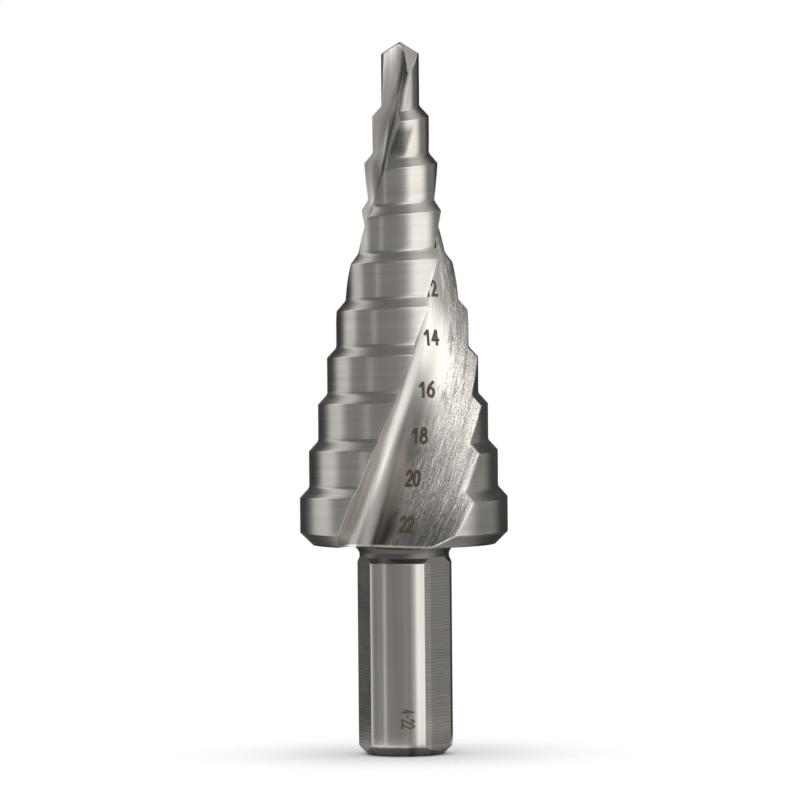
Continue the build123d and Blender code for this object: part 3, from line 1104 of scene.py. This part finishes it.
# Soft boxes and cards round the drill. Each one runs from a left to a right studio angle
# and from a low to a high elevation in degrees. It leans sideways by its slant for each
# degree of elevation, fades over its soft widths, and adds its strength to the base.
BASE_GLOW = 0.2
POLE_GLOW = 0.07
POLE_ELEVATIONS = (20.0, 70.0)
FLAG_SHADE = 0.72
FLAG_ANGLES = ((-142.0, -124.0), (112.0, 138.0))
OPEN_ANGLES = ((-176.0, -168.0), (178.0, 180.0))
PANELS = (
    # left, right, slant, low, high, side softness, end softness, strength
    (-100, 8, 0, -60, 12, 30, 26, 0.14),
    (19, 77, -0.3, -55, 56, 32, 26, 1.35),
    (-20, 92, 0, 16, 66, 56, 30, 0.32),
    (44, 124, 0, 48, 88, 56, 24, 0.68),
    (-122, -90, -0.35, -40, 56, 16, 20, 0.68),
    (-124, -96, -0.35, 14, 56, 18, 20, 0.42),
    (84, 122, 0, -40, 40, 24, 30, 0.08),
    (-54, -47, 0, -40, 16, 7, 10, 0.3),
    (0, 32, -0.3, -55, 56, 24, 26, 0.16),
)


def beyond(angle, left_ramp, right_ramp):
    """1 behind the drill, falling to 0 over a range of angles on each side."""
    return ramp(angle, *right_ramp) + 1 - ramp(angle, *left_ramp)


def studio_glow(angle, lift):
    """Brightness of the studio at studio angles and elevations: the base, shaded by the
    flags behind the drill, and the panels, all giving way to white in the open back."""
    glow = BASE_GLOW + POLE_GLOW * ramp(np.abs(lift), *POLE_ELEVATIONS)
    glow = glow * (1 - FLAG_SHADE * beyond(angle, *FLAG_ANGLES))
    for left, right, slant, low, high, side_soft, end_soft, strength in PANELS:
        side = soft_window(angle - slant * lift, left, right, side_soft)
        glow = glow + strength * side * soft_window(lift, low, high, end_soft)
    behind = beyond(angle, *OPEN_ANGLES)
    return glow * (1 - behind) + behind


def stage_material(name):
    """A material with an empty node tree."""
    material, tree, _ = new_material(name)
    tree.nodes.clear()
    return material, tree


def glowing(tree, strength):
    """White light of a strength."""
    links = {"Color": WHITE, "Strength": strength}
    return node(tree, "Emission", links).outputs[0]


tent_angle = np.linspace(-180, 180, TENT_COLUMNS, endpoint=False)[None, :]
tent_lift = np.linspace(-TENT_TOP, TENT_TOP, TENT_ROWS)[:, None]
climb = heading(tent_lift)
tent_points = lifted(heading(tent_angle - 90) * climb[..., :1], climb[..., 1])
tent_faces = ring_faces(TENT_ROWS, TENT_COLUMNS)[:, ::-1].tolist()
lowest_ring = list(range(TENT_COLUMNS))
highest_ring = [(TENT_ROWS - 1) * TENT_COLUMNS + i for i in lowest_ring]
tent_faces += [lowest_ring, highest_ring[::-1]]
tent_material, tree = stage_material("studio_tent")
node(tree, "OutputMaterial", {"Surface": glowing(tree, named_value(tree, "glow"))})
tent = new_piece(
    "studio_tent", STUDIO_RADIUS * tent_points.reshape(-1, 3) + TARGET, tent_faces,
    [tent_material],
    {"glow": studio_glow(tent_angle, tent_lift).ravel()},
)
tent.visible_camera = tent.visible_diffuse = tent.visible_shadow = False

scene = bpy.context.scene
world = bpy.data.worlds.new("studio")
scene.world = world
world.use_nodes = True
background = world.node_tree.nodes["Background"]
fill(background, {"Color": WHITE, "Strength": 1.0})

# The floor is paper near the drill, glows as the background does further out, and clears
# towards its rim. Fades run over distances from the axis in metres.
FLOOR_RADIUS = 32.0
FLOOR_SIDES = 96
PAPER = (0.93, 0.93, 0.93, 1.0)
GLOW_FADE = (0.006, 0.03)
RIM_FADE = (0.01, 0.031)

rim = heading(np.arange(FLOOR_SIDES) * 360 / FLOOR_SIDES) * FLOOR_RADIUS
floor_material, tree = stage_material("pale_floor")
distance = node(tree, "VectorMath", {0: object_place(tree)}, operation="LENGTH")
distance = distance.outputs["Value"]
path = node(tree, "LightPath").outputs
seen = plus(path["Is Camera Ray"], path["Is Glossy Ray"])
seen = plus(seen, path["Is Transmission Ray"], clamp=True)
share = times(seen, ranged(distance, *GLOW_FADE, smooth=True))
paper = node(tree, "BsdfDiffuse", {"Color": PAPER}).outputs[0]
links = {0: share, 1: paper, 2: glowing(tree, 1.0)}
sheet = node(tree, "MixShader", links).outputs[0]
clear = node(tree, "BsdfTransparent").outputs[0]
fading = ranged(distance, *RIM_FADE, 1.0, 0.0, smooth=True)
faded = node(tree, "MixShader", {0: fading, 1: clear, 2: sheet}).outputs[0]
node(tree, "OutputMaterial", {"Surface": faded})
floor_faces = [list(range(FLOOR_SIDES))]
floor = new_piece("floor", lifted(rim, 0.0), floor_faces, [floor_material], {})

# Camera -----------------------------------------

CAMERA_DISTANCE = 1000.0
CAMERA_ELEVATION = 2.4
CAMERA_ROLL = 0.5
SENSOR_WIDTH = 36.0
PIXELS = 800.0
PIXELS_PER_MM = 9.45
AIM_PIXEL = (402.87, 397.9)

lens_data = bpy.data.cameras.new("camera")
lens_data.sensor_width = SENSOR_WIDTH
lens_data.lens = SENSOR_WIDTH * CAMERA_DISTANCE * PIXELS_PER_MM / PIXELS
lens_data.shift_x = -(AIM_PIXEL[0] - PIXELS / 2) / PIXELS
lens_data.shift_y = (AIM_PIXEL[1] - PIXELS / 2) / PIXELS
lens_data.clip_start = 0.01
lens_data.clip_end = 20.0
camera = bpy.data.objects.new("camera", lens_data)
scene.collection.objects.link(camera)
tilt, roll = math.radians(CAMERA_ELEVATION), math.radians(CAMERA_ROLL)
back = Vector((0, -math.cos(tilt), math.sin(tilt)))
right = Vector((1, 0, 0))
up = back.cross(right)
right_rolled = right * math.cos(roll) - up * math.sin(roll)
up_rolled = up * math.cos(roll) + right * math.sin(roll)
axes = Matrix((right_rolled, up_rolled, back)).transposed().to_4x4()
standing = (Vector(TARGET) + back * CAMERA_DISTANCE) * MM
camera.matrix_world = Matrix.Translation(standing) @ axes
scene.camera = camera

scene.view_settings.view_transform = "Standard"
